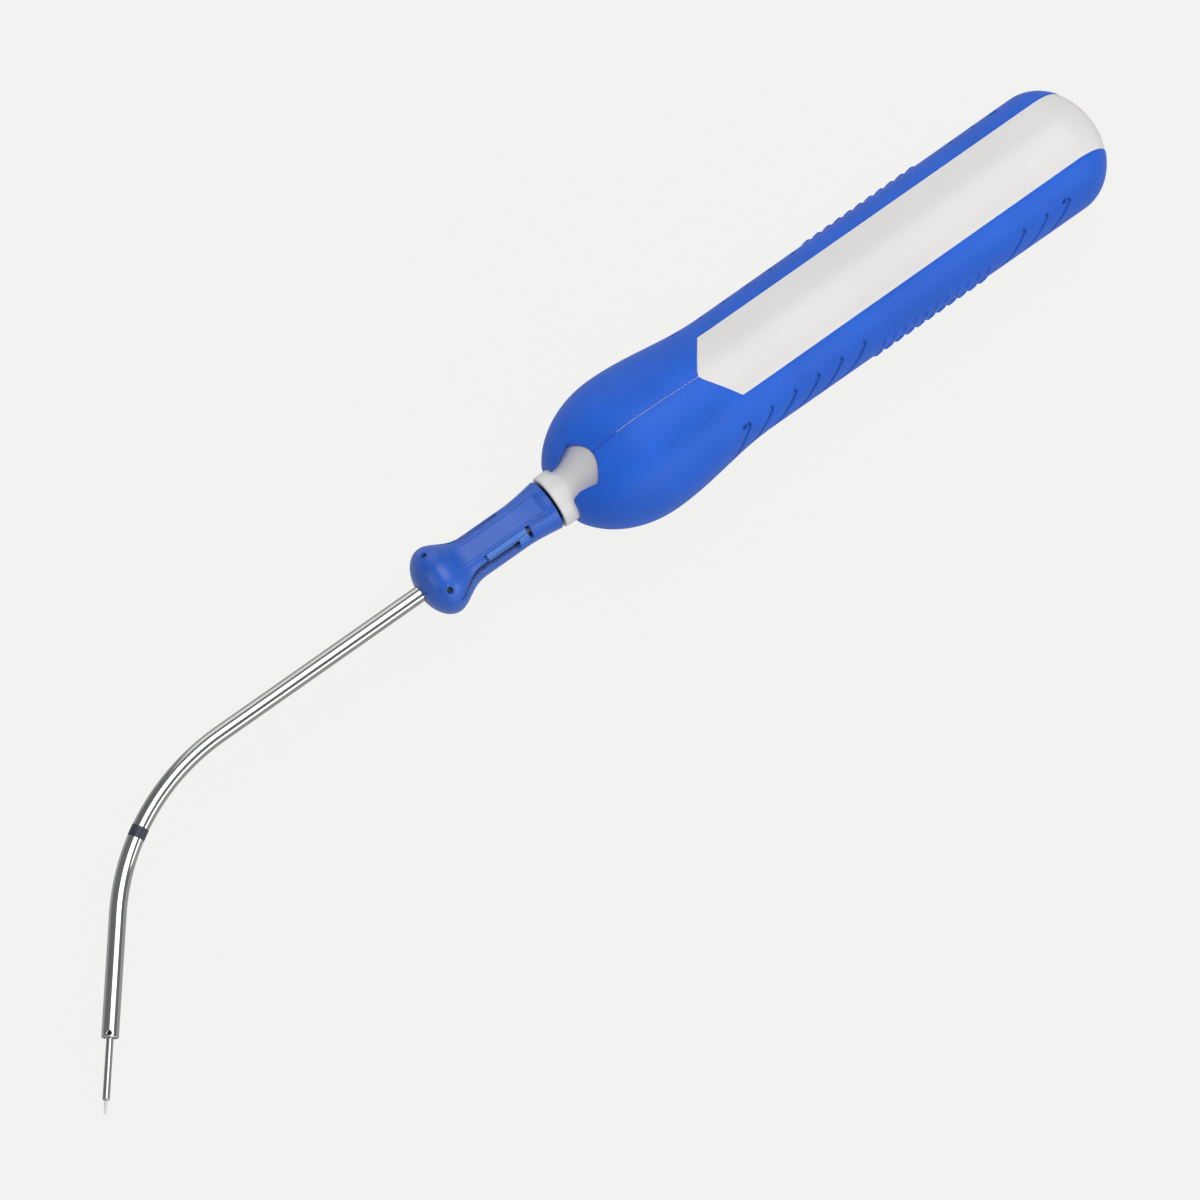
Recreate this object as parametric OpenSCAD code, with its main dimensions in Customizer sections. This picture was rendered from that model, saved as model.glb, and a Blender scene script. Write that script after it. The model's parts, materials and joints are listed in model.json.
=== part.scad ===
// Hand-held surgical introducer: a fat two-colour handle, a thumb slider and
// a bent steel shaft with a needle pin at its end. Millimetres.
// +X runs along the handle towards the tip, the shaft bends towards +Y and
// the white panel faces +Z. The origin is the centre of the shaft's mouth,
// where the needle pin comes out.

/* [Handle] */
// Length of the handle, from its rear end to the front of the nose ring
handle_len = 118.6; // [112:0.1:126]
// Radius of the grip at its rear end
grip_rear_r = 11.7; // [11:0.1:12.5]
// Radius of the grip where the bulge begins
grip_front_r = 11.4; // [11:0.1:12]
// Largest radius of the bulge
bulge_r = 13.4; // [12.8:0.1:14.5]
// Radius of the ring at the front of the nose
ring_r = 5; // [4.8:0.1:5.4]
// Thickness of the soft grip over the hard core
skin = 1.8; // [1.4:0.1:2.2]
// Half the width of the long white panel
panel_half = 6.45; // [5.5:0.05:7]
// How far the panels lie below the soft grip
panel_drop = 0.15; // [0.1:0.05:0.4]

/* [Slider] */
// Length of the thumb slider
slider_len = 26.6; // [26:0.1:28]
// Gap between the slider and the nose ring at rest
slider_gap = 0.5; // [0.3:0.1:0.8]
// Travel of the slider from rest to released
slider_travel = 10; // [8:0.5:10]
// Radius of the slider's waist
waist_r = 4; // [3.9:0.05:4.3]
// Radius of the slider's front flange
flange_r = 6.4; // [6:0.1:7]
// Height of the parting line between the pad and the slider body
pad_z = 2.75; // [2.6:0.05:2.9]
// Angle of the upper latch finger from the top of the slider
latch_at = 40; // [38:1:44]

/* [Shaft] */
// Outer diameter of the shaft
tube_od = 2.9; // [2.8:0.05:3.2]
// Inner diameter of the shaft
tube_id = 2.3; // [2.2:0.05:2.4]
// Straight length from the slider to the bend
straight_len = 41.4; // [36:0.1:50]
// Centreline radius of the bend
bend_r = 39.5; // [34:0.5:50]
// Angle of the bend
bend_angle = 52; // [40:1:60]
// Straight length from the bend to the mouth
end_len = 20.5; // [20:0.1:26]
// Angle round the bend to the middle of the depth mark
band_at = 31.5; // [10:0.5:36]
// Length of the depth mark along the shaft
band_len = 2; // [1:0.1:4]

/* [Pin] */
// Diameter of the needle pin
pin_d = 1.2; // [1.1:0.05:1.3]
// Length of the pin in front of the mouth
pin_len = 10.2; // [10:0.1:12]
// Length of the pale nib on the pin
nib_len = 2.2; // [1:0.1:3]

/* [Hidden] */
$fn = 96;

blue = [0.13, 0.38, 0.85];
white = [0.93, 0.92, 0.9];
steel = [0.72, 0.72, 0.73];
black = [0.1, 0.1, 0.1];

// Stations along the handle's axis, counted from the front face of the slider
nose_x = -slider_len - slider_gap;
rear_x = nose_x - handle_len;
dome_len = 9.5;
bulge_x = nose_x - 17.9;
bulge_run = 22;
nose_run = 17;
panel_corner_x = bulge_x - 18.1;
panel_apex_x = bulge_x - 13.2;
skin_front_x = nose_x - 2.7;
window_rear_x = bulge_x + 9;
window_corner_x = bulge_x + 11.1;
window_neck_x = bulge_x + 13.9;
window_rear_half = 4.4;
window_neck_half = 3.25;
shell_front_x = nose_x - 4.2;
flare_r = 11.5;
flare_rear_x = window_rear_x - 0.6;
flare_front_x = nose_x - 3.2;

// Inside the handle
cavity_r = 7.6;
cavity_rear_x = rear_x + 7;
web = 3;
core_front_x = bulge_x + 4;
nose_tail_x = bulge_x - 1.5;
guide_x = bulge_x - 16;
guide_len = 4;
block_len = 16;
block_w = 9;
block_x = bulge_x - 56;
rod_r = 0.6;
rod_rear_x = block_x + 2;
rod_bore_r = 1.3;
cable_r = 0.5;
dowel_r = 0.6;
dowel_half = 2.9;
dowel_hole_half = 3;
dowel_y = cavity_r + 1;
dowel_rear_x = rear_x + 16;
dowel_front_x = bulge_x - 28;
screw_r = 1.5;
screw_len = 3.6;
socket_r = 0.87;
socket_z = 2;

// Clearance between pieces that slide, gap between pieces that are split, and
// a length that reaches past the handle on every side
slide_gap = 0.2;
split_gap = 0.05;
beyond = 20;

// Guide sleeve and the slider that runs on it
sleeve_r = 3;
sleeve_bore_r = 1;
sleeve_rear_x = nose_tail_x - 2;
slider_bore_r = 3.05;
sleeve_front_x = -5.5;
clip_x = nose_tail_x;
clip_len = 1;
clip_groove_r = 2.3;
clip_r = 4.6;
clip_mouth_half = 1.2;
drag_x = -8;
drag_half = 0.5;
drag_wire_r = 0.4;
drag_groove_r = 2.22;
shoulder_r = 3.6;
shoulder_len = 1.5;
slider_floor_x = -5.2;
collar_r = 2.5;
collar_len = 2.4;
pad_front_x = -2.3;
pad_rear_x = -25.4;
facet_ratio = 0.905;
facet_half = 1.7;
facet_front_x = -8;
pin_hole_x = -3.5;
pin_hole_y = 3.9;
pad_pin_r = 0.5;
pad_pin_z = 0.1;
pad_pin_len = 4.2;
slider_flare = 0.75;
flare_len = 6.7;
rise_len = 7.6;
flange_x = -3.9;
dome_run = 4.2;

// Latch fingers
latch_tip_x = -20.4;
latch_pivot_x = -12.5;
latch_half = 0.65;
latch_low = 3.12;
latch_high = 3.87;
tooth_len = 1.2;
tooth_low = 2.35;
head_len = 1.9;
head_half = 1.95;
head_r = 3.94;
slot_rear_x = -21.1;
notch_front_x = -17.5;
notch_half = latch_half + 0.08;
slot_half = head_half + 0.12;
notch_root_x = latch_pivot_x + 0.55;
window_floor = sleeve_r - 0.2;

// Shaft
tube_rear_x = -5;
tube_r = tube_od / 2;
tube_bore_r = tube_id / 2;
band_r = tube_r + 0.04;
band_angle = band_len / bend_r * 180 / PI;
mouth_hole_r = 0.42;
mouth_hole_back = 0.55;
shank_len = 8;
shank_r = 0.8;
bush_len = 1.6;
bush_back = 1.4;
ferrule_r = 0.95;
ferrule_len = 4;
pin_ferrule_r = 1;
pin_ferrule_len = 3;
pin_ferrule_back = 1;
nib_root_r = 0.34;
nib_tip_r = 0.2;

mouth = [straight_len + bend_r * sin(bend_angle) + end_len * cos(bend_angle),
    bend_r * (1 - cos(bend_angle)) + end_len * sin(bend_angle)];

function ease(t) = (1 - cos(180 * t)) / 2;

// Outline of the handle as [radius, x], pulled in by inset and cut at front_x
function handle_outline(inset, front_x) = [
    for (a = [0:7.5:90])
        [(grip_rear_r - inset) * sin(a), rear_x + inset + (dome_len - inset) * (1 - cos(a))],
    for (t = [0:0.1:1])
        [grip_front_r - inset + (bulge_r - grip_front_r) * ease(t),
            bulge_x - bulge_run * (1 - t)],
    let (last = asin(min(1, (front_x - bulge_x) / (nose_run - inset))))
        for (i = [1:12])
            [(bulge_r - inset) * cos(last * i / 12), bulge_x + (nose_run - inset) * sin(last * i / 12)]
];

// Outline of the slider as [radius, x]: flared rear, waist, flange and domed front
function slider_outline() = [
    for (t = [1:-0.1:0])
        [waist_r + slider_flare * pow(t, 1.5), -slider_len + flare_len * (1 - t)],
    for (t = [0:0.08:1])
        [waist_r + (flange_r - waist_r) * ease(pow(t, 1.3)), flange_x - rise_len * (1 - t)],
    for (i = [1:10])
        let (a = asin(-flange_x / dome_run) * i / 10)
            [flange_r * cos(a), flange_x + dome_run * sin(a)]
];

// Everything is drawn along the handle's axis and then moved to the mouth's frame
module placed() translate([-mouth.x, -mouth.y, 0]) children();

// Solid of revolution about the handle's axis from [radius, x] points
module turned(points) rotate([0, 90, 0]) rotate_extrude() polygon(points);

// Closes an outline on the axis
module turned_solid(outline) turned(concat([[0, outline[0].y]], outline,
    [[0, outline[len(outline) - 1].y]]));

module along_x(r, from, to) translate([from, 0, 0]) rotate([0, 90, 0]) cylinder(r = r, h = to - from);

// Ring about the handle's axis
module ring(outer, inner, from, to) difference() {
    along_x(outer, from, to);
    along_x(inner, from - 1, to + 1);
}

// Box from its two corners
module block(low, high) translate(low) cube(high - low);

// Long panel with its pointed front end, through the handle's whole height
module panel_prism() translate([0, 0, -beyond]) linear_extrude(2 * beyond)
    polygon([[rear_x - 1, -panel_half], [panel_corner_x, -panel_half], [panel_apex_x, 0],
        [panel_corner_x, panel_half], [rear_x - 1, panel_half]]);

// Trumpet-shaped windows at the nose
module window_prism() translate([0, 0, -beyond]) linear_extrude(2 * beyond)
    polygon(concat(
        [for (t = [-1:0.2:1]) [window_rear_x + (window_corner_x - window_rear_x) * t * t,
            window_rear_half * t]],
        [[window_neck_x, window_neck_half], [nose_x + 1, window_neck_half],
            [nose_x + 1, -window_neck_half], [window_neck_x, -window_neck_half]]));

module core_solid() {
    turned_solid(handle_outline(skin, core_front_x));
    intersection() {
        turned_solid(handle_outline(panel_drop, core_front_x));
        panel_prism();
    }
}

// Chambers of the core, with webs that hold the block and the rod guide
module chambers() {
    along_x(cavity_r, cavity_rear_x, block_x - web);
    along_x(cavity_r, block_x + block_len + web, guide_x - web);
    along_x(cavity_r, guide_x, core_front_x + 1);
    anchor_space();
    along_x(rod_bore_r, block_x, core_front_x);
}

module anchor_space() block([block_x, -block_w / 2, -block_w / 2],
    [block_x + block_len, block_w / 2, block_w / 2]);

module dowel_places() for (x = [dowel_rear_x, dowel_front_x], side = [-1, 1])
    translate([x, side * dowel_y, 0]) children();

module dowel(half) translate([0, 0, -half]) cylinder(r = dowel_r, h = 2 * half);

module core_shell() difference() {
    core_solid();
    chambers();
    dowel_places() dowel(dowel_hole_half);
}

module core_upper() color(white) placed() intersection() {
    core_shell();
    block([rear_x - 1, -beyond, 0], [nose_x, beyond, beyond]);
}

module core_lower() color(white) placed() intersection() {
    core_shell();
    block([rear_x - 1, -beyond, -beyond], [nose_x, beyond, 0]);
}

module locating_dowels() color(white) placed() dowel_places() dowel(dowel_half);

// Soft grip moulded over the core, open at the panels and at the nose windows
module grip_sleeve() color(blue) placed() difference() {
    turned_solid(handle_outline(0, skin_front_x));
    turned_solid(handle_outline(skin, shell_front_x));
    along_x(ring_r, shell_front_x - 1, nose_x);
    panel_prism();
    window_prism();
}

// White nose: ring, flared windows and a tail that plugs into the core
module nose_cone() color(white) placed() difference() {
    union() {
        intersection() {
            turned_solid(handle_outline(skin, shell_front_x));
            block([core_front_x, -beyond, -beyond], [nose_x, beyond, beyond]);
        }
        along_x(ring_r, core_front_x, nose_x);
        along_x(cavity_r, nose_tail_x, core_front_x + 1);
        intersection() {
            turned_solid([[flare_r, core_front_x + 1], [flare_r, flare_rear_x], [ring_r, flare_front_x]]);
            window_prism();
        }
    }
    along_x(sleeve_r, nose_tail_x - 1, nose_x + 1);
    along_x(shoulder_r, nose_x - shoulder_len, nose_x + 1);
}

// Fixed sleeve that the slider runs on: shoulder in the nose, a groove for the
// snap ring, a groove for the drag ring and one for each latch tooth
module guide_sleeve() color(black) placed() difference() {
    turned([
        [sleeve_bore_r, sleeve_rear_x], [sleeve_r, sleeve_rear_x],
        [sleeve_r, clip_x - clip_len], [clip_groove_r, clip_x - clip_len],
        [clip_groove_r, clip_x], [sleeve_r, clip_x],
        [sleeve_r, nose_x - shoulder_len], [shoulder_r, nose_x - shoulder_len],
        [shoulder_r, nose_x], [sleeve_r, nose_x],
        [sleeve_r, drag_x - drag_half], [drag_groove_r, drag_x - drag_half],
        [drag_groove_r, drag_x + drag_half], [sleeve_r, drag_x + drag_half],
        [sleeve_r, sleeve_front_x], [sleeve_bore_r, sleeve_front_x]
    ]);
    for (side = [-1, 1]) latch_turn(side)
        block([latch_tip_x - slide_gap, -latch_half - slide_gap, tooth_low - slide_gap],
            [latch_tip_x + tooth_len + slider_travel + slide_gap, latch_half + slide_gap, sleeve_r + 1]);
}

// Snap ring behind the nose that holds the sleeve
module retaining_clip() color(steel) placed() difference() {
    ring(clip_r, clip_groove_r, clip_x - clip_len, clip_x);
    block([clip_x - 2, -clip_mouth_half, -clip_r - 1], [clip_x + 1, clip_mouth_half, 0]);
}

// Soft ring in the sleeve's groove that gives the slider its drag
module drag_ring() color(black) placed() translate([drag_x, 0, 0])
    rotate([0, 90, 0]) rotate_extrude() translate([drag_groove_r + drag_wire_r, 0]) circle(r = drag_wire_r);

// Disc that centres the rod between two webs
module rod_guide() color(white) placed() ring(cavity_r - split_gap, rod_r + split_gap,
    guide_x, guide_x + guide_len);

module anchor_screw_places() for (share = [0.25, 0.75])
    translate([block_x + share * block_len, 0, rod_r]) children();

// Steel block that holds the rear end of the rod
module anchor_block() color(steel) placed() difference() {
    anchor_space();
    along_x(rod_r, rod_rear_x, block_x + block_len + 1);
    anchor_screw_places() cylinder(r = screw_r, h = block_w);
}

// Grub screws with hexagon sockets that clamp the rod
module anchor_screws() color([0.25, 0.25, 0.27]) placed() anchor_screw_places() difference() {
    cylinder(r = screw_r, h = screw_len);
    translate([0, 0, socket_z]) cylinder(r = socket_r, h = screw_len, $fn = 6);
}

module inner_rod() color(steel) placed() along_x(rod_r, rod_rear_x, straight_len);

// Crimp between the rod and the flexible cable
module rod_ferrule() color(steel) placed() ring(ferrule_r, rod_r,
    straight_len - ferrule_len, straight_len);

// Turns to one latch finger's side: the other one is diametrically opposite
module latch_turn(side) rotate([side > 0 ? -latch_at : 180 - latch_at, 0, 0]) children();

module latch_window() for (side = [-1, 1]) latch_turn(side) {
    block([slot_rear_x, -notch_half, window_floor], [notch_front_x, slot_half, flange_r]);
    block([notch_front_x - 1, -notch_half, window_floor], [notch_root_x, notch_half, flange_r]);
}

module pad_pin_places() for (side = [-1, 1]) translate([pin_hole_x, side * pin_hole_y, 0]) children();

// Whole slider before the pad is split from the body
module slider_solid() difference() {
    turned_solid(slider_outline());
    along_x(slider_bore_r, -slider_len - 1, slider_floor_x);
    along_x(collar_r, slider_floor_x - 1, slider_floor_x + collar_len);
    along_x(tube_r, slider_floor_x, 1);
    facet_cut();
    latch_window();
    pad_pin_places() cylinder(r = pad_pin_r, h = flange_r);
}

// Flat along the top that follows the slider's waist
module facet_cut() {
    outline = slider_outline();
    line = [for (p = outline) if (p.y >= pad_rear_x && p.y <= facet_front_x) [p.y, p.x * facet_ratio]];
    translate([0, facet_half + 1, 0]) rotate([90, 0, 0]) linear_extrude(2 * facet_half + 2)
        polygon(concat(line, [[line[len(line) - 1].x, beyond], [line[0].x, beyond]]));
}

// Volume that the pad takes; the body is cut back from it by the given gap
module pad_volume(gap) block([pad_rear_x - gap, -beyond, pad_z - gap],
    [pad_front_x + gap, beyond, beyond]);

module slider_body() color(blue) placed() difference() {
    slider_solid();
    pad_volume(split_gap);
}

module slider_pad() color([0.16, 0.42, 0.88]) placed() intersection() {
    slider_solid();
    pad_volume(0);
}

module pad_pins() color(steel) placed() pad_pin_places()
    translate([0, 0, pad_pin_z]) cylinder(r = pad_pin_r, h = pad_pin_len);

// Collar crimped on the shaft's rear end, held in the slider's floor
module tube_collar() color(steel) placed() ring(collar_r, tube_r, slider_floor_x + split_gap,
    slider_floor_x + collar_len);

// Profile swept round part of the bend, from one angle to another
module swept(from, to) rotate([0, 0, -90]) rotate_extrude(angle = to - from)
    translate([bend_r, 0]) children();

module tube_profile() difference() {
    circle(r = tube_r);
    circle(r = tube_bore_r);
}

// Frame at the centre of the bend, turned by an angle round it
module at_bend(angle) translate([straight_len, bend_r, 0]) rotate([0, 0, angle]) children();

// Frame at the mouth with +Z out of the shaft
module at_mouth() at_bend(bend_angle) translate([end_len, -bend_r, 0]) rotate([0, 90, 0]) children();

// Rear part of the shaft: straight, then round the bend to the depth mark
module shaft_tube() color(steel) placed() {
    ring(tube_r, tube_bore_r, tube_rear_x, straight_len);
    at_bend(0) swept(0, band_at) tube_profile();
}

// Front part of the shaft, butted to the rear part under the depth mark
module distal_tube() color(steel) placed() difference() {
    at_bend(bend_angle) {
        swept(bend_angle, band_at) tube_profile();
        translate([0, -bend_r, 0]) ring(tube_r, tube_bore_r, 0, end_len);
    }
    at_mouth() translate([0, 0, -mouth_hole_back]) for (a = [0, 90]) rotate([90, 0, a])
        cylinder(r = mouth_hole_r, h = 5, center = true);
}

module marker_band() color([0.2, 0.2, 0.22]) placed() at_bend(band_at - band_angle / 2)
    swept(0, band_angle) difference() {
        circle(r = band_r);
        circle(r = tube_r);
    }

// Bush in the mouth that keeps the pin central
module tip_bush() color(steel) placed() at_mouth() translate([0, 0, -bush_back - bush_len]) difference() {
    cylinder(r = tube_bore_r, h = bush_len);
    translate([0, 0, -1]) cylinder(r = shank_r + split_gap, h = bush_len + 2);
}

// Flexible cable between the rod and the pin, round the bend
module flex_cable() color([0.5, 0.5, 0.52]) placed() at_bend(bend_angle) {
    swept(bend_angle, 0) circle(r = cable_r);
    translate([0, -bend_r, 0]) along_x(cable_r, 0, end_len - shank_len);
}

// Spring finger: rounded root, flat leaf, a head that is wider on one side and a
// tooth that points inwards
module latch(side) latch_turn(side) {
    intersection() {
        block([latch_tip_x, -latch_half, latch_low], [latch_tip_x + head_len, head_half, latch_high]);
        along_x(head_r, latch_tip_x - 1, latch_pivot_x);
    }
    block([latch_tip_x, -latch_half, latch_low], [latch_pivot_x, latch_half, latch_high]);
    block([latch_tip_x, -latch_half, tooth_low], [latch_tip_x + tooth_len, latch_half, latch_high]);
    translate([latch_pivot_x, 0, (latch_low + latch_high) / 2]) rotate([90, 0, 0])
        cylinder(r = (latch_high - latch_low) / 2, h = 2 * latch_half, center = true);
}

module latch_left() color([0.3, 0.55, 0.95]) placed() latch(-1);

module latch_right() color([0.3, 0.55, 0.95]) placed() latch(1);

// Pin with a thicker shank that runs in the bush
module needle_pin() color(steel) placed() at_mouth() {
    translate([0, 0, -shank_len]) cylinder(r = shank_r, h = shank_len);
    cylinder(r = pin_d / 2, h = pin_len);
}

// Crimp between the cable and the pin's shank
module pin_ferrule() color(steel) placed() at_mouth()
    translate([0, 0, -shank_len - pin_ferrule_back]) difference() {
        cylinder(r = pin_ferrule_r, h = pin_ferrule_len);
        translate([0, 0, pin_ferrule_back]) cylinder(r = shank_r, h = pin_ferrule_len);
        translate([0, 0, -1]) cylinder(r = cable_r, h = pin_ferrule_len);
    }

module tip_nib() color([0.95, 0.95, 0.95]) placed() at_mouth() translate([0, 0, pin_len])
    cylinder(r1 = nib_root_r, r2 = nib_tip_r, h = nib_len);

core_upper();
core_lower();
grip_sleeve();
nose_cone();
guide_sleeve();
retaining_clip();
drag_ring();
rod_guide();
anchor_block();
anchor_screws();
inner_rod();
rod_ferrule();
locating_dowels();
slider_body();
slider_pad();
pad_pins();
tube_collar();
shaft_tube();
distal_tube();
marker_band();
tip_bush();
flex_cable();
latch_left();
latch_right();
needle_pin();
pin_ferrule();
tip_nib();
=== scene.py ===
"""Hand-held sling introducer: the visible pieces, modelled round its CAD frame.

Lengths are metres. Shapes are worked out in the shaft's own coordinates, which
have x = 0 at the front of the thumb slider, +x towards the tip and the handle's
axis on y = z = 0; placed() moves them into the frame.
"""

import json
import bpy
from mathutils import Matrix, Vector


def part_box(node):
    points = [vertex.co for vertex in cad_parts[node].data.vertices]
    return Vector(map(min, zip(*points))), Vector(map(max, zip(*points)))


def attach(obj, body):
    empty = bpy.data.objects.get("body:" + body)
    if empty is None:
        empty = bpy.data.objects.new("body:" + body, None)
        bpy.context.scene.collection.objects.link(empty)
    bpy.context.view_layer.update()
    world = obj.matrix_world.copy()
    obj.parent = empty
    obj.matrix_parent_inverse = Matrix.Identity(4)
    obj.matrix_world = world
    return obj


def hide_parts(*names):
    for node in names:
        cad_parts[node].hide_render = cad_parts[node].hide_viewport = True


bl_info = {
    "name": "Sling introducer",
    "version": (1, 0, 0),
    "blender": (4, 5, 0),
    "location": "3D View > Sidebar > Introducer",
    "description": "Builds the looks of a hand-held sling introducer round its CAD frame",
    "category": "Object",
}

import bmesh
import bpy
import numpy as np
from bpy.props import FloatProperty, FloatVectorProperty, PointerProperty
from mathutils import Matrix

MM = 0.001
TURN = 2 * np.pi

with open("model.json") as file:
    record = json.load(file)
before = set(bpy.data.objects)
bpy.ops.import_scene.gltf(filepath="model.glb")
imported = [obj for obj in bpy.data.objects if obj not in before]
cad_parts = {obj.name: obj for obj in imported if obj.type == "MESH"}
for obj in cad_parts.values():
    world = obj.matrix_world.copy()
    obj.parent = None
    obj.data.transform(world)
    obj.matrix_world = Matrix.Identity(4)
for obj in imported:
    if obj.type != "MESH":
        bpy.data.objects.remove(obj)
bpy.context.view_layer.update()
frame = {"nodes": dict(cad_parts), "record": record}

SLIDER_LOW, SLIDER_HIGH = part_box("slider_body")
GRIP_LOW, GRIP_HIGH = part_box("grip_sleeve")
NOSE_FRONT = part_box("nose_cone")[1].x
CORE_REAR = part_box("core_upper")[0].x
FRONT_X = SLIDER_HIGH.x
AXIS_Y = (GRIP_LOW.y + GRIP_HIGH.y) / 2
NOSE_X = NOSE_FRONT - FRONT_X
SLIDER_REAR = SLIDER_LOW.x - FRONT_X
PANEL_DROP = 0.15 * MM
REAR_X = CORE_REAR - FRONT_X - PANEL_DROP
GRIP_FRONT = GRIP_HIGH.x - FRONT_X
MERGE = 0.2e-6


def length(name, description, default):
    """A length property in metres."""
    return FloatProperty(name=name, description=description, default=default, min=0.0,
                         unit="LENGTH", precision=5)


def colour(name, description, default):
    """A linear colour property."""
    return FloatVectorProperty(name=name, description=description, default=default, size=3,
                               min=0.0, max=1.0, subtype="COLOR")


class HandleSizes(bpy.types.PropertyGroup):
    """Sizes of the handle that a user would change."""

    rear_r: length("Rear radius", "Radius of the grip behind the finger marks", 11.7 * MM)
    front_r: length("Front radius", "Radius of the grip where the bulge begins", 11.4 * MM)
    bulge_r: length("Bulge radius", "Largest radius of the bulge", 13.4 * MM)
    bulge_back: length("Bulge setback", "From the nose ring's front to the bulge", 17.9 * MM)
    bulge_run: length("Bulge run", "Length over which the grip rises to the bulge", 22 * MM)
    nose_run: length("Nose run", "Half axis of the elliptic nose", 17 * MM)
    dome_len: length("Dome length", "Depth of the rounded rear end", 9.5 * MM)
    skin: length("Skin", "Thickness of the soft grip", 1.8 * MM)
    edge: length("Edge rounding", "Rounding of the grip's edges", 0.25 * MM)
    panel_half: length("Panel half width", "Half the width of the white panel", 6.45 * MM)
    slash_pitch: length("Slash pitch", "Distance between the finger slashes", 5 * MM)
    slash_depth: length("Slash depth", "Depth of the finger slashes", 0.34 * MM)
    pip_height: length("Pip height", "Height of the raised pips", 0.3 * MM)


class SliderSizes(bpy.types.PropertyGroup):
    """Sizes of the thumb slider that a user would change."""

    waist_r: length("Waist radius", "Radius of the slider's waist", 4 * MM)
    flange_r: length("Flange radius", "Radius of the front flange", 6.4 * MM)
    flare: length("Rear flare", "How far the rear end flares out", 0.75 * MM)
    pad_z: length("Pad parting", "Height of the line between pad and body", 2.75 * MM)
    channel_depth: length("Channel depth", "Depth of the recess below the pad", 0.75 * MM)
    channel_width: length("Channel width", "Width of the recess below the pad", 1.45 * MM)
    rib_height: length("Rib height", "Height of the rib along the pad", 0.13 * MM)


class ShaftSizes(bpy.types.PropertyGroup):
    """Sizes of the shaft and the pin that a user would change."""

    straight: length("Straight length", "From the slider to the bend", 41.4 * MM)
    bend_r: length("Bend radius", "Centreline radius of the bend", 39.5 * MM)
    end_len: length("End length", "From the bend to the mouth", 20.5 * MM)
    tube_r: length("Tube radius", "Outer radius of the shaft", 1.45 * MM)
    bore_r: length("Bore radius", "Inner radius of the shaft", 1.15 * MM)
    pin_r: length("Pin radius", "Radius of the needle pin", 0.6 * MM)
    shank_r: length("Shank radius", "Radius of the pin inside the shaft", 0.8 * MM)
    pin_len: length("Pin length", "Length of the pin in front of the mouth", 10.2 * MM)
    nib_len: length("Nib length", "Length of the pale nib", 2.2 * MM)


class Finishes(bpy.types.PropertyGroup):
    """Colours that a user would change."""

    grip: colour("Soft grip", "Blue of the soft grip", (0.0135, 0.122, 0.665))
    slider: colour("Slider", "Blue of the hard slider", (0.024, 0.118, 0.560))
    white: colour("White plastic", "Warm white of the core and nose", (0.80, 0.785, 0.765))
    steel: colour("Steel", "Colour of the polished steel", (0.52, 0.52, 0.515))
    floor: colour("Floor", "Colour of the pale floor", (0.868, 0.868, 0.852))


# ---------------------------------------------------------------- curves


def ease(t):
    """Half cosine that rises from 0 to 1 as t goes from 0 to 1."""
    return (1 - np.cos(np.pi * np.clip(t, 0, 1))) / 2


def step(t):
    """Smooth step from 0 to 1 as t goes from 0 to 1."""
    t = np.clip(t, 0, 1)
    return t * t * (3 - 2 * t)


def root(t):
    """Square root that is 0 for negative numbers."""
    return np.sqrt(np.clip(t, 0, None))


def stations(*stretches):
    """Increasing stations from (start, end, count) stretches that follow each other."""
    parts = [np.linspace(a, b, n, endpoint=False) for a, b, n in stretches]
    return np.concatenate(parts + [[stretches[-1][1]]])


def placed(points):
    """Points of the shaft's coordinates in the frame."""
    return points + np.array([FRONT_X, AXIS_Y, 0])


def round_axis(x, r, turn):
    """Points at radius r and angle turn from the top, about the handle's axis."""
    return np.stack([x + 0 * turn, r * np.sin(turn), r * np.cos(turn)], -1)


def from_path(s, r, turn, sizes):
    """Points at radius r and angle turn about the shaft's centreline, at distance s
    along it: straight, then an arc, then straight again."""
    bend = bend_angle()
    arc = sizes.bend_r * bend
    heading = np.clip((s - sizes.straight) / sizes.bend_r, 0, bend)
    after = np.clip(s - sizes.straight - arc, 0, None)
    x = np.minimum(s, sizes.straight) + sizes.bend_r * np.sin(heading) + after * np.cos(bend)
    y = sizes.bend_r * (1 - np.cos(heading)) + after * np.sin(bend)
    side = r * np.cos(turn)
    return np.stack([x - side * np.sin(heading), y + side * np.cos(heading), r * np.sin(turn)], -1)


def bend_angle():
    """Angle of the bend, from the pin's axis in the record."""
    mount = frame["record"]["mounts"][0]
    return np.arctan2(mount["axis"][1], mount["axis"][0])


# ---------------------------------------------------------------- meshes


def grid_faces(rows, columns, offset):
    """Quads of a grid whose columns close on themselves."""
    index = offset + np.arange(rows * columns).reshape(rows, columns)
    beside = np.roll(index, -1, 1)
    quads = np.stack([index[:-1], beside[:-1], beside[1:], index[1:]], -1)
    return quads.reshape(-1, 4)


def closed(points):
    """A grid with its first and last rows shrunk to points, which closes both ends."""
    first = np.broadcast_to(points[0].mean(0), points[0].shape)
    last = np.broadcast_to(points[-1].mean(0), points[-1].shape)
    return np.concatenate([first[None], points, last[None]])


def repeated(values, rows):
    """Values of a grid repeated for the extra rows that close its ends."""
    return np.concatenate([values[:1], values, values[-1:]]) if rows > len(values) else values


def volume_sign(points, quads):
    """Sign of the volume inside the quads, by the divergence theorem."""
    a, b, c, d = (points[quads[:, i]] for i in range(4))
    return np.sign(np.sum(np.cross(a, b) * c) + np.sum(np.cross(a, c) * d))


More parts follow.
